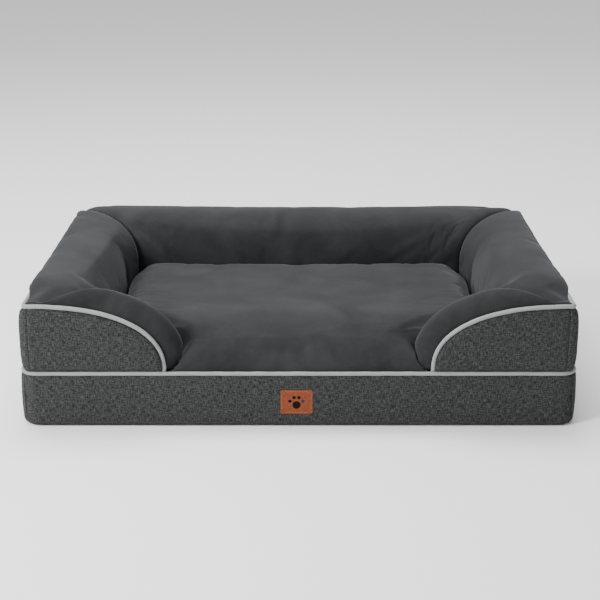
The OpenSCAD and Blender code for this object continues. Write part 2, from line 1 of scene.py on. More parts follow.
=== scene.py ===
# %% [markdown]
# # A sofa bed for a dog
# The bed is a foam mattress in a zipped linen cover, with a stuffed bolster sewn round three of its
# sides. Its hard sizes come from the engineering model, which is loaded first and never changed.
# Blender's share is everything soft: the way cloth swells between its seams, the piping cord that
# finishes each edge, and the finish of every fabric.
# Everything is in metres, with the front of the bed facing -Y.

# %% Load the engineering model
import math

import bpy
import bmesh
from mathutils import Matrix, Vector, noise


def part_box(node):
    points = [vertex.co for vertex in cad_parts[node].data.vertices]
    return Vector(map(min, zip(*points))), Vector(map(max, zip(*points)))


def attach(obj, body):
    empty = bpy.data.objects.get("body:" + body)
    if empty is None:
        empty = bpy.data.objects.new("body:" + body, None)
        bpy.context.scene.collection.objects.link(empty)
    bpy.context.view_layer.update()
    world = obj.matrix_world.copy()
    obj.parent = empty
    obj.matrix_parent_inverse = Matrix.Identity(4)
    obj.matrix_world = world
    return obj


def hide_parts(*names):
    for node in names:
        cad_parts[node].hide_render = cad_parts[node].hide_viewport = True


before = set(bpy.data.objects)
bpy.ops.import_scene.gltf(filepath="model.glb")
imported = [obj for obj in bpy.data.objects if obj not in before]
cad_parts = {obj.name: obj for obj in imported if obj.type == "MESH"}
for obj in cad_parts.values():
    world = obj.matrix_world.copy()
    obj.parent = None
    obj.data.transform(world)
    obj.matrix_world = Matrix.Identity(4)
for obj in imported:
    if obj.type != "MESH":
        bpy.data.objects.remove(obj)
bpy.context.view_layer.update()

# %% [markdown]
# ## Reading the sizes
# The bed's main sizes are read from the boxes of the modelled parts, so if the bed is made larger the
# visible pieces follow. The bolster's running widths and the radii of the cord and of the corners are
# repeated here, because no box shows them.

# %% Read the sizes
MM = 0.001
base_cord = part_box("base_piping_cord")
half_w, half_d = base_cord[1][0], base_cord[1][1]
seam_z = (base_cord[0][2] + base_cord[1][2]) / 2
top_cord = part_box("bolster_piping_cord")
arm_x, arm_y = top_cord[1][0], top_cord[1][1]
foot_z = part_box("left_arm_cover")[0][2]
crest_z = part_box("left_arm_side")[1][2] + 3.2 * MM
rise = crest_z - foot_z
end_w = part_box("left_arm_end")[1][0] + arm_x + 6.2 * MM
surface_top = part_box("sleeping_panel")[1][2]
arm_w, back_w = 100 * MM, 114 * MM
cord_r = 3 * MM
corner_r, back_r, front_r = 24 * MM, 36 * MM, 9 * MM
arm_run = 2 * arm_y
print("half width %.3f, seam at %.3f, bolster seam at %.3f, end width %.3f"
      % (half_w, seam_z, crest_z, end_w))

# %% [markdown]
# ## Small helpers
# A handful of functions do most of the shaping. `ease` and `round_rise` are two ways of going from 0 to
# 1: the first is an S-curve for shapes that flow into each other, and the second is a quarter circle,
# which is how stuffed cloth leaves a seam. `patch` turns rows of points into a smooth-shaded mesh.

# %% Shaping helpers
def mix(a, b, t):
    return a + (b - a) * t


def clamp01(t):
    return min(1.0, max(0.0, t))


def ease(t):
    c = clamp01(t)
    return c * c * (3 - 2 * c)


def round_rise(t):
    c = 1 - clamp01(t)
    return math.sqrt(1 - c * c)


def steps(a, b, count):
    return [mix(a, b, i / count) for i in range(count + 1)]


def lumps(p, size, seed=0.0):
    """Smooth unevenness from -1 to 1 whose lumps are about `size` across."""
    return noise.noise(Vector(p) / size + Vector((seed, seed * 1.7, seed * 0.3)))


# %% Mesh helpers
def finish_mesh(name, verts, faces, smooth=True):
    """A mesh object from points and faces, riding on the bed."""
    mesh = bpy.data.meshes.new(name)
    mesh.from_pydata([tuple(v) for v in verts], [], faces)
    mesh.validate()
    piece = bpy.data.objects.new(name, mesh)
    bpy.context.scene.collection.objects.link(piece)
    if smooth:
        mesh.polygons.foreach_set("use_smooth", [True] * len(mesh.polygons))
    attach(piece, "bed")
    return piece


def face_towards(piece, towards):
    facing = sum((p.normal * p.area for p in piece.data.polygons), Vector())
    if facing.dot(Vector(towards)) < 0:
        piece.data.flip_normals()
    return piece


def face_outward(piece):
    """Turns every face of a closed form outward."""
    mesh = bmesh.new()
    mesh.from_mesh(piece.data)
    bmesh.ops.recalc_face_normals(mesh, faces=mesh.faces)
    mesh.to_mesh(piece.data)
    mesh.free()


def patch(name, rows, towards):
    """A sheet of quads through rows of points, its normals facing `towards` on average."""
    n, m = len(rows[0]), len(rows)
    verts = [p for row in rows for p in row]
    faces = [(i * n + k, i * n + k + 1, (i + 1) * n + k + 1, (i + 1) * n + k)
             for i in range(m - 1) for k in range(n - 1)]
    return face_towards(finish_mesh(name, verts, faces), towards)


def thicken(piece, thickness):
    """Gives a sheet of cloth its thickness, on the inner side."""
    mod = piece.modifiers.new("cloth thickness", "SOLIDIFY")
    mod.thickness = thickness
    mod.offset = -1


def smoother(piece):
    mod = piece.modifiers.new("smooth", "SUBSURF")
    mod.levels = mod.render_levels = 1


# %% [markdown]
# ## The camera and the light
# The camera comes first, so that every later piece can be judged in place. It stands in front of the
# bed, a little above a sofa's height, with a long lens that keeps the arms from splaying. The light is
# a soft key high on the left and in front, a broad panel overhead, and a sky that is paler on the left.

# %% Camera
sensor_mm, lens_mm = 36, 77.52
camera_back, camera_up, camera_tilt = 1.632, 0.727, 18.42


def add_camera():
    data = bpy.data.cameras.new("camera")
    data.sensor_width = sensor_mm
    data.lens = lens_mm
    camera = bpy.data.objects.new("camera", data)
    camera.location = (1.8 * MM, -(half_d + camera_back), camera_up)
    camera.rotation_euler = (math.radians(90 - camera_tilt), 0, 0)
    bpy.context.scene.collection.objects.link(camera)
    bpy.context.scene.camera = camera
    return camera


camera = add_camera()
print("lens %.1f mm, camera at %s" % (camera.data.lens, tuple(round(v, 3) for v in camera.location)))


# %% Lights, floor and sky
def add_area(name, place, target, size, power, colour=(1, 1, 1)):
    data = bpy.data.lights.new(name, "AREA")
    data.shape = "RECTANGLE"
    data.size, data.size_y = size
    data.energy = power
    data.color = colour
    light = bpy.data.objects.new(name, data)
    light.location = place
    light.rotation_euler = (Vector(target) - Vector(place)).to_track_quat("-Z", "Y").to_euler()
    bpy.context.scene.collection.objects.link(light)


add_area("key_light", (-1.45, -1.25, 1.35), (-0.15, 0, 0.1), (0.6, 0.6), 60)
add_area("top_light", (-0.3, 0.7, 2.6), (0, 0, 0), (2.0, 1.4), 75)


def add_sky():
    """A pale sky that is brighter on the left, as in a room with one big window."""
    world = bpy.data.worlds.new("pale_sky")
    world.use_nodes = True
    tree = world.node_tree
    sky = tree.nodes["Background"]
    place = tree.nodes.new("ShaderNodeTexCoord")
    split = tree.nodes.new("ShaderNodeSeparateXYZ")
    shade = tree.nodes.new("ShaderNodeMapRange")
    shade.inputs["From Min"].default_value, shade.inputs["From Max"].default_value = -1, 1
    shade.inputs["To Min"].default_value, shade.inputs["To Max"].default_value = 1.2, 0.45
    tree.links.new(place.outputs["Generated"], split.inputs[0])
    tree.links.new(split.outputs[0], shade.inputs["Value"])
    tree.links.new(shade.outputs[0], sky.inputs["Strength"])
    sky.inputs["Color"].default_value = (1, 1, 1, 1)
    bpy.context.scene.world = world


add_sky()


def add_floor():
    size = 30
    verts = [(-size, -size, 0), (size, -size, 0), (size, size, 0), (-size, size, 0)]
    mesh = bpy.data.meshes.new("floor")
    mesh.from_pydata(verts, [], [(0, 1, 2, 3)])
    floor = bpy.data.objects.new("floor", mesh)
    floor.location = (0, 0, -0.0005)
    bpy.context.scene.collection.objects.link(floor)
    mat = bpy.data.materials.new("pale_floor")
    mat.use_nodes = True
    shader = mat.node_tree.nodes["Principled BSDF"]
    shader.inputs["Base Color"].default_value = (0.94, 0.94, 0.94, 1)
    shader.inputs["Roughness"].default_value = 0.9
    mesh.materials.append(mat)


add_floor()
print("lights and floor set")

# %% [markdown]
# ## The bolster's section
# Cut across the bolster and you see three parts. The outer face is a flat linen wall. From the seam at
# its top, the velour swells up over a rounded crown and down steeply to the sleeping surface. Behind the
# end panel an arm is wide and low, like the panel, and it soon narrows to a slim, tall roll. Both
# outlines are plain functions of `f`, which runs from 0 at the outer seam to 1 at the inner foot, so
# blending one into the other along the arm is simple arithmetic.

# %% The section's outlines
cover_in = 5.2 * MM
SQUARENESS = 2.35
end_power = 2 / SQUARENESS


def end_outline(f, w, h, start=0.0):
    """The end panel's flattened quarter ellipse, as (distance inward, height above the foot)."""
    return (start + (w - start) * math.sin(math.pi / 2 * f) ** end_power,
            h * max(0.0, math.cos(math.pi / 2 * f)) ** end_power)


# The running roll's outline for an arm 100 mm wide: up from the seam, out over the cord, round the
# crown, down the inner face and in to the foot. Distance inward and height above the foot, in mm.
ROLL = ((4.5, 94.5), (-2.0, 98.0), (0.5, 102.5), (12, 105.0), (32, 105.5), (54, 102), (75, 93),
        (90, 78), (98, 58), (99.5, 38), (98.5, 18), (96, 0))
roll_marks = [0.0]
for (x0, z0), (x1, z1) in zip(ROLL, ROLL[1:]):
    roll_marks.append(roll_marks[-1] + math.hypot(x1 - x0, z1 - z0))


def through(values, i, t):
    """A smooth curve through values spaced as roll_marks: the part between i and i + 1."""
    def slope(j):
        a, b = max(j - 1, 0), min(j + 1, len(values) - 1)
        return (values[b] - values[a]) / (roll_marks[b] - roll_marks[a])
    span = roll_marks[i + 1] - roll_marks[i]
    return ((2 * t ** 3 - 3 * t * t + 1) * values[i] + (t ** 3 - 2 * t * t + t) * span * slope(i)
            + (3 * t * t - 2 * t ** 3) * values[i + 1] + (t ** 3 - t * t) * span * slope(i + 1))


def roll_outline(f, w, h):
    """The running roll: its inner part widens with w and its height follows h."""
    along = clamp01(f) * roll_marks[-1]
    i = max(k for k in range(len(ROLL) - 1) if roll_marks[k] <= along)
    t = (along - roll_marks[i]) / (roll_marks[i + 1] - roll_marks[i])
    x = through([p[0] for p in ROLL], i, t)
    z = through([p[1] for p in ROLL], i, t)
    if x > 10:
        x = 10 + (x - 10) * (w / MM - 10) / 90
    return x * MM, z * MM * h / (92.5 * MM)


def outline_normal(outline, f):
    d = 0.004
    x0, z0 = outline(max(0.0, f - d))
    x1, z1 = outline(min(1.0, f + d))
    length = math.hypot(x1 - x0, z1 - z0) or 1.0
    return -(z1 - z0) / length, (x1 - x0) / length


print("crown of the roll is %.1f mm above its seam"
      % (1000 * max(roll_outline(f, back_w, rise)[1] - rise for f in steps(0, 1, 50))))

# %% [markdown]
# ## From the lip to the mitre
# An arm's front end swells into a soft lip just behind the piping. A crease closes the lip off: it
# starts at the outer corner and swings back as it climbs over the arm. Behind the crease the roll rises
# again, full and round, and runs back to a mitred corner like that of a picture frame. `arm_point`
# gives any point of this surface from how far along and how far round it is.

# %% Where the arm's surface runs
lip_back, flare_end = 46 * MM, 118 * MM
lip_swell = 25 * MM
crease_depth = 5 * MM
crease_near, crease_far = 13 * MM, 57 * MM
lip_front = cord_r * 2 - 0.6 * MM
mitre_dent, mitre_fade = 7 * MM, 20 * MM
mitre_e = back_r * (1 - math.sqrt(0.5))
turn_d = back_w * 1.5


def draw_in(dist, r=back_r):
    return 0.0 if dist >= r else r - math.sqrt(max(0.0, r * r - (r - dist) ** 2))


def turn(dist):
    return clamp01((turn_d - dist) / (turn_d - mitre_e))


def arm_width(s):
    if s < flare_end:
        return mix(end_w, arm_w, ease((s - lip_back) / (flare_end - lip_back)))
    return mix(arm_w, back_w, clamp01((s - arm_run + turn_d) / (turn_d - mitre_e)))


def foot_width(run):
    """The width its foot takes at a distance behind the front, where the rings near the mitre turn."""
    if run < flare_end:
        return arm_width(run)
    return mix(arm_w, back_w, clamp01((run - arm_run + turn_d) / (turn_d - back_w - 8 * MM)))


def crease_at(f):
    """How far behind the front the lip's crease lies, at f round the section."""
    return mix(crease_near, crease_far, ease(f / 0.34))


def arm_place(a, z, s):
    dist = arm_run - s
    inward = a + max(0.0, 1 - a / back_w) * draw_in(dist)
    return Vector((-arm_x + inward, -arm_y + s - turn(dist) * (inward - draw_in(dist)), foot_z + z))


def arm_point(f, s):
    """A point of the left arm's velour, f round the section and s behind the front."""
    crease = crease_at(f)
    ends = end_outline(f, end_w if s < crease else arm_width(s), rise, cover_in)
    if s < crease:
        t = (s - lip_front) / (crease - lip_front)
        nx, nz = outline_normal(lambda g: end_outline(g, end_w, rise, cover_in), max(f, 0.03))
        size = clamp01(crease / crease_far) ** 0.6 * (0.35 + 0.65 * ease(f / 0.2))
        size *= mix(1, 0.55, ease((f - 0.86) / 0.14))
        swell = lip_swell * size * math.sin(math.pi * clamp01(t) ** 0.88) ** 0.62
        swell -= crease_depth * t ** 6
        return arm_place(ends[0] + nx * swell, ends[1] + nz * swell, s)
    t = (s - crease) / (flare_end - lip_back)
    w = arm_width(s)
    rolls = roll_outline(f, w, rise)
    share = clamp01(t * 1.25)
    share = mix(ease(share), round_rise(share * 0.9), 0.6)
    x, z = mix(ends[0], rolls[0], share), mix(ends[1], rolls[1], share)
    nx, nz = outline_normal(lambda g: roll_outline(g, w, rise), f)
    behind = s - crease
    dent = crease_depth * (1 - round_rise(behind / (16 * MM)))
    fold = 1 - abs(2 * noise.noise(Vector((f * 13, behind / (120 * MM), 4.2))))
    dent += 1.8 * MM * fold ** 3 * math.exp(-behind / (30 * MM)) * ease((f - 0.2) / 0.15)
    dent += mitre_dent * (1 - round_rise((arm_run - mitre_e - s) / mitre_fade)) * ease(f / 0.12)
    return arm_place(x - nx * dent, z - nz * dent, s)


print("the arm narrows from %.0f to %.0f mm" % (1000 * arm_width(0), 1000 * arm_width(arm_run)))


# %% [markdown]
# ## Letting the cloth settle
# Stuffed cloth is under pressure from inside and held at its seams, and the spare cloth between them
# goes into soft wrinkles. That is hard to draw and easy to simulate: the mesh becomes a sheet a little
# larger than its place, its edges are pinned where the seams are, and air pressure does the rest. The
# movement is capped, so that a piece can't leave the room that the engineering model gives it.

# %% Cloth settling helper
def settle(piece, held, pressure, spare, cap, frames=15, stiffness=12.0, bending=0.4):
    """Runs a short cloth simulation on a mesh. `held` gives each vertex's pinning from 0 to 1."""
    group = piece.vertex_groups.new(name="held")
    for i, weight in enumerate(held):
        if weight > 0:
            group.add([i], weight, "REPLACE")
    mod = piece.modifiers.new("settling cloth", "CLOTH")
    cloth = mod.settings
    cloth.quality = 6
    cloth.mass = 0.12
    cloth.tension_stiffness = cloth.compression_stiffness = stiffness
    cloth.shear_stiffness = stiffness / 2
    cloth.bending_stiffness = bending
    cloth.use_pressure = True
    cloth.uniform_pressure_force = pressure
    cloth.vertex_group_mass = "held"
    cloth.pin_stiffness = 1
    cloth.shrink_min = -spare
    cloth.effector_weights.gravity = 0
    mod.collision_settings.use_collision = False
    mod.point_cache.frame_start, mod.point_cache.frame_end = 1, frames
    scene = bpy.context.scene
    for number in range(1, frames + 1):
        scene.frame_set(number)
    seen = piece.evaluated_get(bpy.context.evaluated_depsgraph_get())
    moved = [v.co.copy() for v in seen.data.vertices]
    farthest = 0.0
    for vertex, place in zip(piece.data.vertices, moved):
        step = place - vertex.co
        if step.length > cap:
            step *= cap / step.length
        farthest = max(farthest, step.length)
        vertex.co += step
    piece.modifiers.remove(mod)
    piece.vertex_groups.remove(group)
    scene.frame_set(1)
    print("%s settled, moving at most %.1f mm" % (piece.name, farthest * 1000))


# %% [markdown]
# ## The arms in velour
# Each arm is one sheet of quads, dense enough to hold a wrinkle. The rows are packed round the lip's
# crease, where the shape turns fastest. A little unevenness is added before settling, because no
# stuffing is perfectly even, and each arm gets its own, so that left and right aren't twins.

# %% Build the arms' velour
ROUND = 48
LIP_ROWS, ROLL_ROWS, BACK_ROWS = 14, 84, 120
velour_thick, linen_thick = 2.2 * MM, 1.8 * MM
farthest_move = 4 * MM
round_steps = [mix(t, t * t, 0.4) for t in steps(0, 1, ROUND)]


def free_of_seams(k):
    """0 at both long seams and 1 between them, at point k of a row."""
    return ease(k / ROUND / 0.15) * ease((1 - k / ROUND) / 0.1)


def arm_rows(side):
    last = arm_run - mitre_e
    rows = []
    for t in steps(0, 1, LIP_ROWS)[:-1]:
        rows.append([arm_point(f, mix(lip_front, crease_at(f), t)) for f in round_steps])
    for t in steps(0, 1, ROLL_ROWS):
        warped = mix(t, t * t, 0.35)
        warped = mix(warped, 1 - (1 - warped) ** 1.4, 0.3)
        rows.append([arm_point(f, mix(crease_at(f), last, warped)) for f in round_steps])
    for row in rows:
        for k, p in enumerate(row):
            hold = free_of_seams(k)
            p.z += 1.5 * MM * lumps(p, 0.10, 3 + side) * hold
            p.x += 1.2 * MM * lumps(p, 0.09, 7 + side) * hold
            p.x *= -side
    return rows


def build_arm(name, side, cover, fill):
    rows = arm_rows(side)
    arm = patch(name, rows, (0, 0, 1))
    count = len(rows)
    held = []
    for i in range(count):
        for k in range(ROUND + 1):
            edge = min(i, count - 1 - i, k, ROUND - k)
            held.append(1.0 if edge == 0 or i == LIP_ROWS else 0.0)
    settle(arm, held, pressure=1.6, spare=0.012, cap=farthest_move)
    thicken(arm, velour_thick)
    smoother(arm)
    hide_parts(cover, fill)
    return arm


left_arm = build_arm("left_arm_velour", -1, "left_arm_cover", "left_arm_fill")
right_arm = build_arm("right_arm_velour", 1, "right_arm_cover", "right_arm_fill")
print("arms:", len(left_arm.data.vertices), "points each")


# %% [markdown]
# ## The back bolster in velour
# The back is the same roll, run straight from mitre to mitre. At each end its rings turn to lie in the
# mitre's plane, and they draw in by a few millimetres, as the arms' do, so that the two rolls meet in a
# dark fold and not in a flush edge.

# %% Build the back bolster's velour
def back_point(f, u):
    dist = min(u, 2 * arm_x - u)
    x, z = roll_outline(f, back_w, rise)
    nx, nz = outline_normal(lambda g: roll_outline(g, back_w, rise), f)
    dent = mitre_dent * (1 - round_rise((dist - mitre_e) / mitre_fade)) * ease(f / 0.12)
    a, z = x - nx * dent, z - nz * dent
    a = a + max(0.0, 1 - a / back_w) * draw_in(dist)
    across = dist + turn(dist) * (a - draw_in(dist))
    return Vector((-arm_x + across if u < arm_x else arm_x - across, arm_y - a, foot_z + z))


def build_back():
    rows = []
    for t in steps(0, 1, BACK_ROWS):
        bunched = mix(t, 0.5 - 0.5 * math.cos(math.pi * t), 0.35)
        u = mix(mitre_e, 2 * arm_x - mitre_e, bunched)
        row = [back_point(f, u) for f in round_steps]
        for k, p in enumerate(row):
            hold = free_of_seams(k)
            p.z += 1.4 * MM * lumps(p, 0.11, 21) * hold
            p.y += 1.6 * MM * lumps(p, 0.08, 25) * hold
        rows.append(row)
    back = patch("back_bolster_velour", rows, (0, 0, 1))
    count = len(rows)
    held = [1.0 if min(i, count - 1 - i, k, ROUND - k) == 0 else 0.0
            for i in range(count) for k in range(ROUND + 1)]
    settle(back, held, pressure=1.6, spare=0.008, cap=farthest_move)
    thicken(back, velour_thick)
    smoother(back)
    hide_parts("back_bolster_cover", "back_bolster_fill")
    return back


back_roll = build_back()
print("back roll:", len(back_roll.data.vertices), "points")

# %% [markdown]
# ## The sleeping surface
# The velour panel is sewn to the base's edge and pushed up in the middle by wadding and foam, so it
# leaves the front seam in a quick curve and dips into a valley beside each arm. The cloth is a little
# too full for that valley, and gathers into short folds that point at the arm. The whole pillow top is
# built as one closed form, with a flat underside that rests on the liner.

# %% Build the sleeping surface
surface_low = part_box("top_wadding")[0][2]
pillow_rise = 45 * MM
border_z = surface_top - pillow_rise
side_round, front_round = 36 * MM, 130 * MM
front_edge = -half_d + 5.4 * MM
back_edge = arm_y - back_w - 2 * MM


def surface_half_width(y):
    s = y + arm_y
    swell = lip_swell * round_rise(s / lip_back) * (1 - ease((s - lip_back) / (flare_end - lip_back)))
    return arm_x - foot_width(s) - 0.6 * swell - 1 * MM


def gather(inward, y, seed):
    """A narrow crease wherever a stretched noise passes through zero."""
    wander = 0.01 * lumps((inward, y, 0), 0.05, seed)
    value = noise.noise(Vector((inward / 0.075, (y + 0.25 * inward + wander) / 0.013, seed)))
    return max(0.0, 1 - abs(value) * 4.5) ** 1.5


def surface_height(x, y):
    inward = surface_half_width(y) - abs(x)
    front = y - front_edge
    share = round_rise(inward / side_round) * round_rise(front / front_round)
    share *= round_rise((back_edge + 4 * MM - y) / side_round)
    z = border_z + pillow_rise * share
    near_arm = ease(inward / (14 * MM)) * math.exp(-inward / (42 * MM))
    near_lip = math.exp(-((y + 0.12) / 0.07) ** 2) * 0.8 + 0.25
    z -= 2.4 * MM * gather(inward, y, 2.0 + (x > 0) * 3.1) * near_arm * near_lip * ease(front / 0.05)
    z -= 0.8 * MM * gather(front * 0.6, x, 8.3) * math.exp(-front / 0.035) * ease(front / 0.012)
    z += (2.0 * lumps((x, y, 0), 0.12, 5) + 0.9 * lumps((x, y, 0), 0.045, 6)) * MM * ease(share)
    return z


def build_surface():
    across, along = 92, 104
    under = 14 * MM
    rows = []
    for j in range(along + 1):
        t = j / along
        t = mix(t, t * t, 0.45)
        y = mix(front_edge, back_edge + under, t)
        tucked = under if y > -arm_y + 12 * MM else 4 * MM
        reach = surface_half_width(min(max(y, front_edge), back_edge)) + tucked
        row = []
        for i in range(across + 1):
            c = 2 * i / across - 1
            x = reach * (c * (1.18 - 0.18 * c * c))
            row.append(Vector((x, y, surface_height(x, y))))
        rows.append(row)
    n, m = across + 1, along + 1
    verts = [p for row in rows for p in row]
    faces = [(j * n + i, j * n + i + 1, (j + 1) * n + i + 1, (j + 1) * n + i)
             for j in range(along) for i in range(across)]
    rim = (list(range(n)) + [j * n + n - 1 for j in range(1, m)]
           + [(m - 1) * n + i for i in range(n - 2, -1, -1)] + [j * n for j in range(m - 2, 0, -1)])
    start, count = len(verts), len(rim)
    verts += [Vector((verts[i].x, verts[i].y, surface_low)) for i in rim]
    faces += [(rim[(k + 1) % count], rim[k], start + k, start + (k + 1) % count) for k in range(count)]
    faces.append(tuple(start + k for k in range(count - 1, -1, -1)))
    top = finish_mesh("sleeping_surface", verts, faces)
    held = [1.0 if v.co.z < border_z + 3 * MM or k >= start else 0.0 for k, v in enumerate(top.data.vertices)]
    settle(top, held, pressure=1.2, spare=0.008, cap=farthest_move)
    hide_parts("sleeping_panel", "top_wadding")
    return top


surface = build_surface()
print("sleeping surface rises to %.3f m" % max(v.co.z for v in surface.data.vertices))

# %% [markdown]
# ## The bolster's linen
# The outer walls and the end panels are linen. The stuffing presses them outward, so each is fullest at
# mid-height and drawn in at both seams. The end panels are built as rings that shrink from their
# outline towards the middle, which lets them swell forward evenly like a small cushion. The back's
# outer wall, which holds a zip, isn't rebuilt here: the engineering model's flat one is kept.

# %% Build the arms' side panels
panel_low, panel_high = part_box("left_arm_side")[0][2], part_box("left_arm_side")[1][2]
face_w, face_h = end_w - 5.4 * MM, panel_high - panel_low


def side_path():
    """The outer face's route in plan: from the end panel round the front corner to the back corner."""
    points = []
    for k in range(9):
        a = math.pi / 2 * k / 8
        points.append((-arm_x + front_r * (1 - math.sin(a)), -arm_y + front_r * (1 - math.cos(a)),
                       -math.sin(a), -math.cos(a)))
    for y in steps(-arm_y + front_r, arm_y - back_r, 80)[1:-1]:
        points.append((-arm_x, y, -1.0, 0.0))
    for k in range(9):
        a = math.pi / 4 * k / 8
        points.append((-arm_x + back_r * (1 - math.cos(a)), arm_y - back_r * (1 - math.sin(a)),
                       -math.cos(a), math.sin(a)))
    return points


def front_depth(px, pz):
    """How far an end panel swells forward, px from its outer seam and pz above its foot."""
    reach = (clamp01(px / face_w) ** SQUARENESS + clamp01(pz / face_h) ** SQUARENESS) ** (1 / SQUARENESS)
    from_rim = (1 - reach) * face_h
    swell = 5 * MM * round_rise(from_rim / (30 * MM)) * round_rise(pz / (26 * MM))
    return swell - 1.2 * MM * (1 - ease(min(from_rim, pz) / (5 * MM)))


def build_side(name, side, node):
    rows = []
    for x, y, nx, ny in side_path():
        calm = ease((arm_y - 10 * MM - y) / (70 * MM))
        from_front = ease((y + arm_y) / (45 * MM))
        row = []
        for t in steps(0, 1, 18):
            z = mix(panel_low - 1.2 * MM, panel_high + 0.6 * MM, t)
            swell = calm * (6.0 * MM * math.sin(math.pi * t) ** 0.8 + mix(3.0, -1.5, t) * MM)
            swell += 0.9 * MM * lumps((x, y, z), 0.06, 30 + side) * math.sin(math.pi * t)
            swell -= 1.6 * MM * (ease((t - 0.93) / 0.07) + ease((0.07 - t) / 0.07))
            swell = mix(front_depth(0.0, z - panel_low), swell, from_front)
            row.append(Vector((side * -(x + nx * swell), y + ny * swell, z)))
        rows.append(row)
    piece = patch(name, rows, (side, 0, 0))
    thicken(piece, linen_thick)
    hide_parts(node)
    return piece


left_side = build_side("left_arm_linen", -1, "left_arm_side")
right_side = build_side("right_arm_linen", 1, "right_arm_side")
print("side panels reach %.4f m" % max(v.co.x for v in right_side.data.vertices))


# %% Build the end panels
def build_end(name, side, node):
    start = front_r
    rim = [(start, t * face_h) for t in steps(0, 1, 16)[:-1]]
    rim += [end_outline(f, face_w, face_h, start) for f in steps(0, 1, 48)]
    rim += [(mix(face_w, start, t), 0.0) for t in steps(0, 1, 26)[1:-1]]
    cx, cz = mix(start, face_w, 0.42), face_h * 0.45
    rings = 15
    verts, faces = [], []
    n = len(rim)
    for j in range(rings + 1):
        t = j / rings
        for x, z in (rim if j < rings else rim[:1]):
            px, pz = mix(x, cx, t), mix(z, cz, t)
            inside = min(1.0, t * 4)
            depth = front_depth(px - start, pz)
            depth += 0.8 * MM * lumps((side * px, 0, pz), 0.045, 40 + side) * inside
            verts.append(Vector((side * (arm_x - px), -arm_y - depth, panel_low + pz)))
    for j in range(rings - 1):
        for k in range(n):
            faces.append((j * n + k, j * n + (k + 1) % n, (j + 1) * n + (k + 1) % n, (j + 1) * n + k))
    faces += [((rings - 1) * n + k, (rings - 1) * n + (k + 1) % n, rings * n) for k in range(n)]
    piece = face_towards(finish_mesh(name, verts, faces), (0, -1, 0))
    thicken(piece, linen_thick)
    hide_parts(node)
    return piece


left_end = build_end("left_end_linen", -1, "left_arm_end")
right_end = build_end("right_end_linen", 1, "right_arm_end")
print("end panels made")

# %% [markdown]
# ## The base's walls
# The mattress box keeps its walls nearly flat. Each is a panel with a rolled lower edge, and its top
# tucks in under the piping, which is what draws the thin shadow below the cord. A slight fullness and
# a few shallow puckers at the seam keep it from looking like a board. The back wall, which holds the
# zip, is kept as the engineering model has it.

# %% Build the front and side walls of the base
wall_top = seam_z - 2.5 * MM
roll_r = 8 * MM


def wall_profile():
    """Points up the wall as (outward, height, fullness), from under the edge to under the cord."""
    points = [(-roll_r + roll_r * math.sin(a), roll_r - roll_r * math.cos(a), 0.3 * math.sin(a))
              for a in steps(0, math.pi / 2, 8)]
    for t in steps(0, 1, 20)[1:]:
        z = mix(roll_r, wall_top + 0.8 * MM, t)
        tuck = -2.0 * MM * ease((t - 0.93) / 0.07)
        points.append((tuck, z, math.sin(math.pi * mix(0.15, 1.0, t))))
    return points


def wall_path(length, count):
    """The wall's route in its own plane: half a corner, a straight run, half a corner."""
    r = corner_r
    half = length / 2
    points = [(-half + r - r * math.sin(a), -r * (1 - math.cos(a)), -math.sin(a), math.cos(a))
              for a in steps(math.pi / 4, 0, 8)]
    points += [(x, 0.0, 0.0, 1.0) for x in steps(-half + r, half - r, count)[1:-1]]
    points += [(half - r + r * math.sin(a), -r * (1 - math.cos(a)), math.sin(a), math.cos(a))
               for a in steps(0, math.pi / 4, 8)]
    return points


def build_wall(name, angle, length, reach, node, seed, flare):
    turn_by = math.radians(angle)
    c, s = math.cos(turn_by), math.sin(turn_by)
    rows = []
    path = wall_path(length, int(length / 0.008))
    for px, py, nx, ny in path:
        edge = ease((length / 2 - abs(px)) / (60 * MM))
        pucker = 0.35 * MM * math.sin(px * 2 * math.pi / 0.013 + 3 * lumps((px, 0, 0), 0.05, seed))
        row = []
        for out, z, full in wall_profile():
            swell = 1.6 * MM * full * edge + flare * full
            swell += 0.7 * MM * lumps((px, seed, z), 0.07, seed) * full * edge
            swell += pucker * ease((z - wall_top + 14 * MM) / (10 * MM)) * edge
            r = out + swell
            u, v = px + nx * r, reach + py + ny * r
            row.append(Vector((u * c - v * s, u * s + v * c, z)))
        rows.append(row)
    piece = patch(name, rows, (-s, c, 0))
    thicken(piece, linen_thick)
    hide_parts(node)
    return piece


front_wall = build_wall("front_wall_linen", 180, 2 * half_w, half_d, "base_front_wall", 1, 0.0)
left_wall = build_wall("left_wall_linen", 90, 2 * half_d, half_w, "base_left_wall", 2, 1.2 * MM)
right_wall = build_wall("right_wall_linen", -90, 2 * half_d, half_w, "base_right_wall", 3, 1.2 * MM)
print("walls made, top at %.4f m" % wall_top)

# %% [markdown]
# ## Piping
# Piping is a cord wrapped in a strip of cloth and caught in the seam. Swept circles make it: a ring of
# points is carried along the seam's route and joined up. A real cord never runs perfectly true, so the
# route wanders by a few tenths of a millimetre.

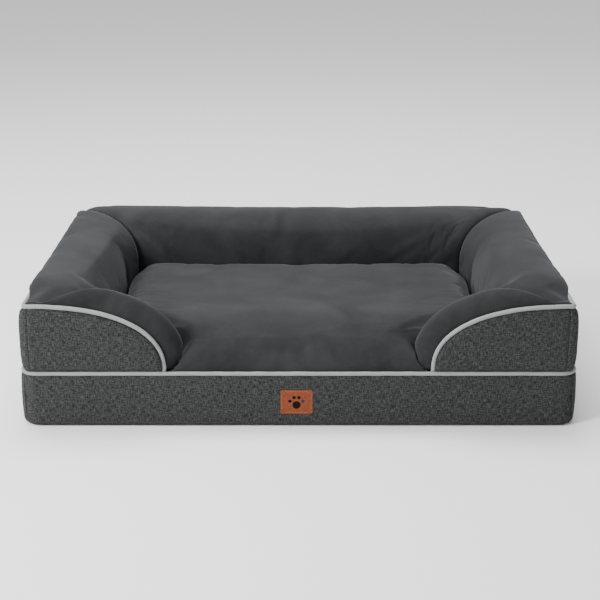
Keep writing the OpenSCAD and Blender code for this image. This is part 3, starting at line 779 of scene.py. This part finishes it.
# %% Sweep a cord along a route
def sweep(name, route, radius, loop, node, seed):
    count = len(route)
    rings, sides = [], 14
    up = None
    for i, p in enumerate(route):
        ahead = route[(i + 1) % count] if loop or i < count - 1 else route[i]
        behind = route[i - 1] if loop or i > 0 else route[i]
        along = (ahead - behind).normalized()
        if up is None:
            up = along.orthogonal()
        up = (up - along * up.dot(along)).normalized()
        side = along.cross(up)
        centre = p + 0.35 * MM * (up * lumps(p, 0.02, seed) + side * lumps(p, 0.02, seed + 4))
        r = radius * (1 + 0.04 * lumps(p, 0.012, seed + 8))
        rings.append([centre + r * (math.cos(a) * up + math.sin(a) * side)
                      for a in [2 * math.pi * k / sides for k in range(sides)]])
    verts = [v for ring in rings for v in ring]
    faces = [(i * sides + k, i * sides + (k + 1) % sides,
              ((i + 1) % count) * sides + (k + 1) % sides, ((i + 1) % count) * sides + k)
             for i in range(count if loop else count - 1) for k in range(sides)]
    if not loop:
        faces += [tuple(range(sides - 1, -1, -1)), tuple((count - 1) * sides + k for k in range(sides))]
    piece = finish_mesh(name, verts, faces)
    face_outward(piece)
    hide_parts(node)
    return piece


# %% Route and build both cords
def oblong(cx, cy, r, count):
    """Points round an oblong with corners of radius r, centred at (cx, cy) and its mirror places."""
    quarters = enumerate([(1, 1), (-1, 1), (-1, -1), (1, -1)])
    return [(sx * cx + r * math.cos(a), sy * cy + r * math.sin(a)) for quarter, (sx, sy) in quarters
            for a in [math.pi / 2 * (quarter + k / count) for k in range(count + 1)]]


def spans(route, loop):
    return list(zip(route, route[1:] + route[:1] if loop else route[1:]))


def evenly(points, loop, gap=4 * MM):
    """The same route with a point every `gap` or so."""
    out = []
    for a, b in spans(points, loop):
        count = max(1, round((b - a).length / gap))
        out += [a.lerp(b, i / count) for i in range(count)]
    if not loop:
        out.append(points[-1])
    return out


def base_route():
    corners = oblong(half_w - corner_r, half_d - corner_r, corner_r - 2.5 * MM, 8)
    return evenly([Vector((x, y, seam_z)) for x, y in corners], True)


def top_route():
    half = [Vector((-arm_x + end_w - cord_r, -arm_y + cord_r, foot_z - 1.0 * MM))]
    for f in steps(0.97, 0.02, 44):
        x, z = end_outline(f, end_w - cord_r, rise, front_r)
        half.append(Vector((-arm_x + x, -arm_y + cord_r - 1.2 * MM * math.sin(math.pi * f), foot_z + z)))
    bend = front_r - cord_r
    for a in steps(0, math.pi / 2, 8):
        x, y = cord_r + bend * (1 - math.sin(a)), cord_r + bend * (1 - math.cos(a))
        half.append(Vector((-arm_x + x, -arm_y + y, crest_z)))
    bend = back_r - cord_r
    for a in steps(0, math.pi / 2, 12):
        x, y = back_r - bend * math.cos(a), back_r - bend * math.sin(a)
        half.append(Vector((-arm_x + x, arm_y - y, crest_z)))
    for p in half:
        if p.y > -arm_y + 4 * MM:
            p.x += 1.5 * MM * ease((p.y + arm_y) / 0.05) * ease((arm_y - 40 * MM - p.y) / 0.06)
    whole = half + [Vector((-p.x, p.y, p.z)) for p in reversed(half)]
    return evenly(whole, False)


def length_of(route, loop):
    return sum((b - a).length for a, b in spans(route, loop))


base_cord_route, top_cord_route = base_route(), top_route()
base_piping = sweep("base_piping_tube", base_cord_route, 2.8 * MM, True, "base_piping_cord", 50)
top_piping = sweep("bolster_piping_tube", top_cord_route, 3.1 * MM, False, "bolster_piping_cord", 60)
print("piping: base %.3f m, bolster %.3f m"
      % (length_of(base_cord_route, True), length_of(top_cord_route, False)))

# %% [markdown]
# ## Materials from shared groups
# Two effects turn up in several fabrics, so each is a node group. `Woven threads` makes a plain weave
# with yarns of uneven thickness and shade, on whichever upright plane the cloth faces. `Pile` makes the
# short nap of velour, and broad soft patches of painted sheen and painted shade, lighter and darker at
# random. They put out only masks and heights, and each material decides what to do with them.

# %% Node helpers
def add_node(tree, kind, **inputs):
    node = tree.nodes.new(kind)
    for key, value in inputs.items():
        name = key.replace("_", " ")
        if name in node.inputs:
            node.inputs[name].default_value = value
        else:
            setattr(node, key, value)
    return node


def maths(tree, operation, a, b=None):
    """A Math node; a and b are sockets or plain numbers."""
    node = tree.nodes.new("ShaderNodeMath")
    node.operation = operation
    for slot, value in zip(node.inputs, (a, b)):
        if value is None:
            continue
        if isinstance(value, (int, float)):
            slot.default_value = value
        else:
            tree.links.new(value, slot)
    return node.outputs[0]


def plus(tree, a, b):
    return maths(tree, "ADD", a, b)


def minus(tree, a, b):
    return maths(tree, "SUBTRACT", a, b)


def times(tree, a, b):
    return maths(tree, "MULTIPLY", a, b)


def blended(tree, a, share_a, b, share_b):
    """Two sockets added in fixed shares."""
    return plus(tree, times(tree, a, share_a), times(tree, b, share_b))


def mottle(tree, place, **inputs):
    """A noise texture laid on the object."""
    node = add_node(tree, "ShaderNodeTexNoise", **inputs)
    tree.links.new(place.outputs["Object"], node.inputs["Vector"])
    return node


def new_group(name, inputs, outputs):
    group = bpy.data.node_groups.new(name, "ShaderNodeTree")
    for label, kind, value in inputs:
        socket = group.interface.new_socket(label, in_out="INPUT", socket_type=kind)
        socket.default_value = value
    for label, kind in outputs:
        group.interface.new_socket(label, in_out="OUTPUT", socket_type=kind)
    return group, group.nodes.new("NodeGroupInput"), group.nodes.new("NodeGroupOutput")


# %% The woven threads group
def make_woven_threads():
    group, given, out = new_group(
        "Woven threads",
        [("Threads per Metre", "NodeSocketFloat", 700.0), ("Unevenness", "NodeSocketFloat", 0.5)],
        [("Shade", "NodeSocketFloat"), ("Height", "NodeSocketFloat")])
    link = group.links.new
    place = group.nodes.new("ShaderNodeTexCoord")
    split = group.nodes.new("ShaderNodeSeparateXYZ")
    link(place.outputs["Object"], split.inputs[0])
    facing = group.nodes.new("ShaderNodeNewGeometry")
    normal = group.nodes.new("ShaderNodeSeparateXYZ")
    link(facing.outputs["Normal"], normal.inputs[0])
    sideways = maths(group, "GREATER_THAN", maths(group, "ABSOLUTE", normal.outputs[0]),
                     maths(group, "ABSOLUTE", normal.outputs[1]))
    u = plus(group, times(group, split.outputs[1], sideways),
             times(group, split.outputs[0], minus(group, 1.0, sideways)))
    v = split.outputs[2]
    wander = mottle(group, place, Scale=90.0, Detail=2.0)
    drift = times(group, minus(group, wander.outputs[0], 0.5), 0.0016)
    rate = given.outputs["Threads per Metre"]
    along = times(group, plus(group, u, drift), rate)
    up = times(group, minus(group, v, drift), rate)
    warp = maths(group, "ABSOLUTE", maths(group, "SINE", times(group, along, math.pi)))
    weft = maths(group, "ABSOLUTE", maths(group, "SINE", times(group, up, math.pi)))
    square = plus(group, maths(group, "FLOOR", along), maths(group, "FLOOR", up))
    over = maths(group, "ABSOLUTE", maths(group, "MODULO", square, 2.0))
    top = plus(group, times(group, warp, over), times(group, weft, minus(group, 1.0, over)))

    def yarn(first, second, stretch_first, stretch_second, seed):
        joined = group.nodes.new("ShaderNodeCombineXYZ")
        link(times(group, first, stretch_first), joined.inputs[0])
        link(times(group, second, stretch_second), joined.inputs[1])
        joined.inputs[2].default_value = seed
        grain = add_node(group, "ShaderNodeTexNoise", Scale=1.0, Detail=2.0, Roughness=0.6)
        link(joined.outputs[0], grain.inputs["Vector"])
        return grain.outputs[0]

    slub_up = yarn(along, up, 1.0, 0.16, 3.0)
    slub_across = yarn(along, up, 0.16, 1.0, 9.0)
    both_ways = minus(group, plus(group, slub_up, slub_across), 1.0)
    slub = plus(group, times(group, both_ways, 0.8), 0.5)
    patchy = mottle(group, place, Scale=260.0, Detail=3.0, Roughness=0.65)
    both = blended(group, slub, 0.82, patchy.outputs[0], 0.18)
    spread = times(group, minus(group, both, 0.5), times(group, given.outputs["Unevenness"], 6.0))
    shade = plus(group, times(group, minus(group, top, 0.5), 0.5), plus(group, spread, 0.5))
    limit = group.nodes.new("ShaderNodeClamp")
    link(shade, limit.inputs[0])
    link(limit.outputs[0], out.inputs["Shade"])
    link(blended(group, top, 0.7, slub, 0.6), out.inputs["Height"])
    return group


woven_threads = make_woven_threads()
print("group:", woven_threads.name)


# %% The pile group
def make_pile():
    group, given, out = new_group(
        "Pile",
        [("Sheen Patch Scale", "NodeSocketFloat", 14.0), ("Grain Size", "NodeSocketFloat", 1400.0)],
        [("Painted Sheen", "NodeSocketFloat"), ("Grain", "NodeSocketFloat"), ("Height", "NodeSocketFloat")])
    link = group.links.new
    place = group.nodes.new("ShaderNodeTexCoord")
    # Broad noise: soft patches of painted sheen and painted shade for the velour's colour.
    broad = mottle(group, place, Detail=4.0, Roughness=0.55, Distortion=0.6)
    link(given.outputs["Sheen Patch Scale"], broad.inputs["Scale"])
    fine = mottle(group, place, Detail=2.0, Roughness=0.7)
    link(given.outputs["Grain Size"], fine.inputs["Scale"])
    mid = mottle(group, place, Scale=170.0, Detail=3.0, Roughness=0.6)
    link(broad.outputs[0], out.inputs["Painted Sheen"])
    link(blended(group, fine.outputs[0], 0.6, mid.outputs[0], 0.4), out.inputs["Grain"])
    link(blended(group, fine.outputs[0], 0.5, mid.outputs[0], 0.9), out.inputs["Height"])
    return group


pile = make_pile()
print("group:", pile.name)


# %% Material helpers
def new_material(name, **plain):
    """A material whose shader has these plain numbers on its own sockets."""
    mat = bpy.data.materials.new(name)
    mat.use_nodes = True
    shader = mat.node_tree.nodes["Principled BSDF"]
    for key, value in plain.items():
        shader.inputs[key.replace("_", " ")].default_value = value
    return mat, mat.node_tree, shader


def ramp(tree, factor, stops):
    node = tree.nodes.new("ShaderNodeValToRGB")
    elements = node.color_ramp.elements
    while len(elements) < len(stops):
        elements.new(0.5)
    for element, (place, colour) in zip(elements, stops):
        element.position = place
        element.color = (*colour, 1) if len(colour) == 3 else colour
    tree.links.new(factor, node.inputs[0])
    return node.outputs[0]


def grey(value, warm=0.0):
    return (value * (1 + warm), value, value * (1 - warm))


def bump(tree, height, shader, strength, distance):
    node = tree.nodes.new("ShaderNodeBump")
    node.inputs["Strength"].default_value = strength
    node.inputs["Distance"].default_value = distance
    tree.links.new(height, node.inputs["Height"])
    tree.links.new(node.outputs[0], shader.inputs["Normal"])


# %% [markdown]
# ## Charcoal linen
# The linen is heathered: pale and dark yarns are spun together, so close up it is speckled and from
# across the room it reads as one charcoal. The shade from the weave group goes through a colour ramp
# whose ends are the two yarns.

# %% Charcoal linen
def make_linen(name, threads, unevenness, dark, light, depth=0.0006):
    mat, tree, shader = new_material(name, Roughness=0.92, Sheen_Weight=0.03, Sheen_Roughness=0.6,
                                     Specular_IOR_Level=0.08)
    weave = tree.nodes.new("ShaderNodeGroup")
    weave.node_tree = woven_threads
    weave.inputs["Threads per Metre"].default_value = threads
    weave.inputs["Unevenness"].default_value = unevenness
    middle = mix(dark, light, 0.35)
    colour = ramp(tree, weave.outputs["Shade"],
                  [(0.0, grey(dark, -0.03)), (0.55, grey(middle, -0.02)), (1.0, grey(light, -0.01))])
    tree.links.new(colour, shader.inputs["Base Color"])
    bump(tree, weave.outputs["Height"], shader, 0.55, depth)
    return mat


charcoal_linen = make_linen("charcoal_linen", 900.0, 0.5, 0.007, 0.068)
print("material:", charcoal_linen.name)

# %% [markdown]
# ## Grey velour
# Velour's short pile scatters light back at glancing angles, so it looks lighter along its edges. The
# shader's sheen gives that. The broad noise of the pile group adds painted sheen and painted shade to the
# colour: soft patches, lighter and darker at random, in place of the way light plays on brushed nap.

# %% Grey velour
def make_velour(name, dark, light):
    mat, tree, shader = new_material(name, Roughness=0.85, Sheen_Weight=0.16, Sheen_Roughness=0.45,
                                     Sheen_Tint=(0.62, 0.65, 0.70, 1), Specular_IOR_Level=0.1)
    nap = tree.nodes.new("ShaderNodeGroup")
    nap.node_tree = pile
    nap.inputs["Sheen Patch Scale"].default_value = 13.0
    nap.inputs["Grain Size"].default_value = 1500.0
    # Painted sheen and shade make 0.7 of the colour mix; the nap's own fine grain makes the rest.
    blend = blended(tree, nap.outputs["Painted Sheen"], 0.7, nap.outputs["Grain"], 0.3)
    colour = ramp(tree, blend, [(0.32, grey(dark, -0.04)), (0.68, grey(light, -0.035))])
    tree.links.new(colour, shader.inputs["Base Color"])
    bump(tree, nap.outputs["Height"], shader, 0.35, 0.0007)
    return mat


grey_velour = make_velour("grey_velour", 0.013, 0.029)
print("material:", grey_velour.name)


# %% [markdown]
# ## Piping, leather and the rest
# The piping is a bias-cut strip, so its weave runs at a slant. The label is smooth leather with a
# fine grain. The hidden and small parts each get a finish of their own too, because a model is looked
# at from every side and sometimes taken apart.

# %% Piping cloth
def make_piping():
    mat, tree, shader = new_material("light_piping", Roughness=0.8, Sheen_Weight=0.05,
                                     Specular_IOR_Level=0.15)
    place = tree.nodes.new("ShaderNodeTexCoord")
    slant = tree.nodes.new("ShaderNodeMapping")
    slant.inputs["Rotation"].default_value = (0.6, 0.7, 0.5)
    tree.links.new(place.outputs["Object"], slant.inputs[0])
    wave = add_node(tree, "ShaderNodeTexWave", Scale=420.0, Distortion=1.2, Detail=2.0, Detail_Scale=2.0)
    tree.links.new(slant.outputs[0], wave.inputs["Vector"])
    soil = mottle(tree, place, Scale=60.0, Detail=4.0)
    blend = blended(tree, wave.outputs["Fac"], 0.4, soil.outputs[0], 0.6)
    colour = ramp(tree, blend, [(0.2, grey(0.20, -0.01)), (0.8, grey(0.31, -0.01))])
    tree.links.new(colour, shader.inputs["Base Color"])
    bump(tree, wave.outputs["Fac"], shader, 0.4, 0.0004)
    return mat


light_piping = make_piping()
print("material:", light_piping.name)


# %% Leather, print and thread
def make_grained(name, dark, light, scale, roughness, depth=0.0003, **plain):
    """A plain surface with a fine grain: leather, foam, film or moulded plastic."""
    mat, tree, shader = new_material(name, Roughness=roughness, **plain)
    place = tree.nodes.new("ShaderNodeTexCoord")
    grain = mottle(tree, place, Scale=scale, Detail=5.0, Roughness=0.6)
    cells = add_node(tree, "ShaderNodeTexVoronoi", Scale=scale * 1.4)
    tree.links.new(place.outputs["Object"], cells.inputs["Vector"])
    tree.links.new(ramp(tree, grain.outputs[0], [(0.3, dark), (0.7, light)]), shader.inputs["Base Color"])
    height = blended(tree, cells.outputs["Distance"], 0.6, grain.outputs[0], 0.5)
    bump(tree, height, shader, 0.5, depth)
    return mat


label_leather = make_grained("label_leather", (0.115, 0.024, 0.007), (0.20, 0.046, 0.013), 420.0, 0.6,
                             Specular_IOR_Level=0.25)
label_print = make_grained("label_print", (0.004, 0.002, 0.001), (0.010, 0.004, 0.002), 600.0, 0.8,
                           Specular_IOR_Level=0.1)
label_thread = make_grained("label_thread", (0.22, 0.08, 0.03), (0.36, 0.14, 0.055), 2500.0, 0.75)
zip_metal = make_grained("zip_metal", (0.09, 0.09, 0.095), (0.16, 0.16, 0.17), 900.0, 0.38, 0.0001,
                         Metallic=0.9)
zip_coil = make_grained("zip_coil", (0.018, 0.018, 0.02), (0.035, 0.035, 0.038), 1800.0, 0.42, 0.0001)
zip_tape = make_linen("zip_tape", 1500.0, 0.2, 0.012, 0.035, 0.0002)
foam = make_grained("foam", (0.66, 0.56, 0.34), (0.84, 0.76, 0.52), 900.0, 0.95, 0.0008)
liner_film = make_grained("liner_film", (0.62, 0.66, 0.68), (0.74, 0.77, 0.79), 30.0, 0.35, 0.001)
underside = make_linen("underside_fabric", 1100.0, 0.35, 0.010, 0.04, 0.0003)
grip_dots = make_grained("grip_dots", (0.10, 0.10, 0.105), (0.16, 0.16, 0.165), 500.0, 0.7, 0.0001)
care_ribbon = make_linen("care_ribbon", 2400.0, 0.08, 0.66, 0.8, 0.0001)
print("small materials made")

# %% [markdown]
# ## Underside
# The underside is a dark non-woven cloth with rows of small rubber dots that stop the bed sliding.
# The dots touch the floor and the cloth is held just above it.

# %% Build the underside
def build_underside():
    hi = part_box("base_bottom_panel")[1]
    r = corner_r - roll_r
    lift = 1.0 * MM
    rim = oblong(hi[0] - r, hi[1] - r, r, 6)
    n = len(rim)
    verts = [Vector((x, y, lift)) for x, y in rim] + [Vector((x, y, hi[2])) for x, y in rim]
    faces = [tuple(range(n - 1, -1, -1)), tuple(range(n, 2 * n))]
    faces += [(k, (k + 1) % n, n + (k + 1) % n, n + k) for k in range(n)]
    panel = finish_mesh("underside_cloth", verts, faces, smooth=False)
    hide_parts("base_bottom_panel")
    panel.data.materials.append(underside)
    verts, faces = [], []
    pitch = 15 * MM
    nx, ny = int((hi[0] - 12 * MM) / pitch), int((hi[1] - 12 * MM) / pitch)
    for i in range(-nx, nx + 1):
        for j in range(-ny, ny + 1):
            cx, cy = i * pitch + (j % 2) * pitch / 2, j * pitch
            if abs(cx) > hi[0] - 10 * MM:
                continue
            start = len(verts)
            for radius, z in ((2.2 * MM, lift), (1.9 * MM, 0.4 * MM), (1.2 * MM, 0.05 * MM)):
                verts += [Vector((cx + radius * math.cos(a), cy + radius * math.sin(a), z))
                          for a in [math.pi / 4 * k for k in range(8)]]
            for ring in (0, 8):
                near, far = start + ring, start + ring + 8
                faces += [(near + (k + 1) % 8, near + k, far + k, far + (k + 1) % 8) for k in range(8)]
            faces.append(tuple(start + 16 + k for k in range(7, -1, -1)))
            faces.append(tuple(start + k for k in range(8)))
    dots = finish_mesh("underside_grip_dots", verts, faces)
    dots.data.materials.append(grip_dots)
    return dots


underside_dots = build_underside()
print("underside dots:", len(underside_dots.data.polygons) // 18)

# %% [markdown]
# ## Zip coils
# A coil zip is a spiral of nylon on each tape, and the two spirals hook together. From outside it looks
# like a row of fine slanted ribs. Each rib here is a small rounded bar, mirrored above and below the
# zip's centre line.

# %% Build the zip coils
def build_coils(name, node):
    lo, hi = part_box(node)
    middle = (lo[2] + hi[2]) / 2
    reach, depth = (hi[2] - lo[2]) / 2, hi[1] - lo[1]
    pitch = 2.0 * MM
    verts, faces = [], []
    count = int((hi[0] - lo[0]) / pitch)
    for side in (-1, 1):
        for k in range(count):
            x = lo[0] + (k + (0.25 if side < 0 else 0.75)) * pitch
            start = len(verts)
            for t, w in ((0.22, 0.62), (0.5, 0.78), (0.85, 0.72), (1.0, 0.45)):
                z = middle + side * reach * t
                slant = 0.35 * pitch * t
                for c in range(6):
                    a = math.pi * c / 5
                    verts.append(Vector((x + slant + 0.5 * pitch * w * math.cos(a),
                                         lo[1] + depth * w / 0.78 * math.sin(a), z)))
            for ring in range(3):
                for c in range(5):
                    a = start + ring * 6 + c
                    faces.append((a, a + 1, a + 7, a + 6))
                low = start + ring * 6
                faces.append((low + 5, low, low + 6, low + 11))
            faces.append(tuple(start + c for c in range(5, -1, -1)))
            faces.append(tuple(start + 18 + c for c in range(6)))
    piece = finish_mesh(name, verts, faces)
    face_outward(piece)
    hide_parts(node)
    piece.data.materials.append(zip_coil)


build_coils("base_zip_teeth", "base_zip_coils")
build_coils("bolster_zip_teeth", "bolster_zip_coils")
print("zip ribs made")

# %% [markdown]
# ## The care tag
# A short blank ribbon is caught in the back seam. One sheet of quads makes it: it hangs nearly flat,
# with a slight curl that lifts its free end off the wall.

# %% Build the care tag
def build_tag():
    lo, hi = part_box("care_tag")
    rows = []
    for t in steps(0, 1, 14):
        z = mix(hi[2], lo[2], t)
        curl = (0.3 + 0.6 * t * t) * MM
        rows.append([Vector((mix(lo[0], hi[0], u), lo[1] + curl + 0.2 * MM * math.sin(math.pi * u) * t, z))
                     for u in steps(0, 1, 10)])
    tag = patch("care_tag_ribbon", rows, (0, 1, 0))
    thicken(tag, 0.35 * MM)
    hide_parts("care_tag")
    tag.data.materials.append(care_ribbon)


build_tag()
print("care tag made")

# %% [markdown]
# ## Dressing the pieces
# Last, each soft piece gets its cloth, and the parts kept from the engineering model get finishes in
# place of their plain colours; the label and the zips' sliders and pulls also get softened edges.

# %% Dress everything
for piece in (left_arm, right_arm, back_roll, surface):
    piece.data.materials.append(grey_velour)
for piece in (left_side, right_side, left_end, right_end, front_wall, left_wall, right_wall):
    piece.data.materials.append(charcoal_linen)
for piece in (base_piping, top_piping):
    piece.data.materials.append(light_piping)

finishes = {
    "base_back_wall": charcoal_linen, "back_bolster_side": charcoal_linen, "bolster_bottom_panel": underside,
    "foam_core": foam, "liner_upper": liner_film, "liner_lower": liner_film,
    "base_zip_tapes": zip_tape, "bolster_zip_tapes": zip_tape,
    "base_zip_stops": zip_metal, "bolster_zip_stops": zip_metal,
    "base_zip_slider": zip_metal, "bolster_zip_slider": zip_metal,
    "base_zip_pull": zip_metal, "bolster_zip_pull": zip_metal,
    "label_patch": label_leather, "label_motif": label_print, "label_stitches": label_thread,
}
for node, mat in finishes.items():
    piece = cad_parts[node]
    for slot in piece.material_slots:
        slot.link = "OBJECT"
        slot.material = mat
softened = {"label_patch": 0.35 * MM, "base_zip_slider": 0.25 * MM, "bolster_zip_slider": 0.25 * MM,
            "base_zip_pull": 0.3 * MM, "bolster_zip_pull": 0.3 * MM}
for node, width in softened.items():
    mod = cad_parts[node].modifiers.new("soft edges", "BEVEL")
    mod.width = width
    mod.segments = 2
    mod.limit_method = "ANGLE"
print("dressed", len(finishes), "kept parts")
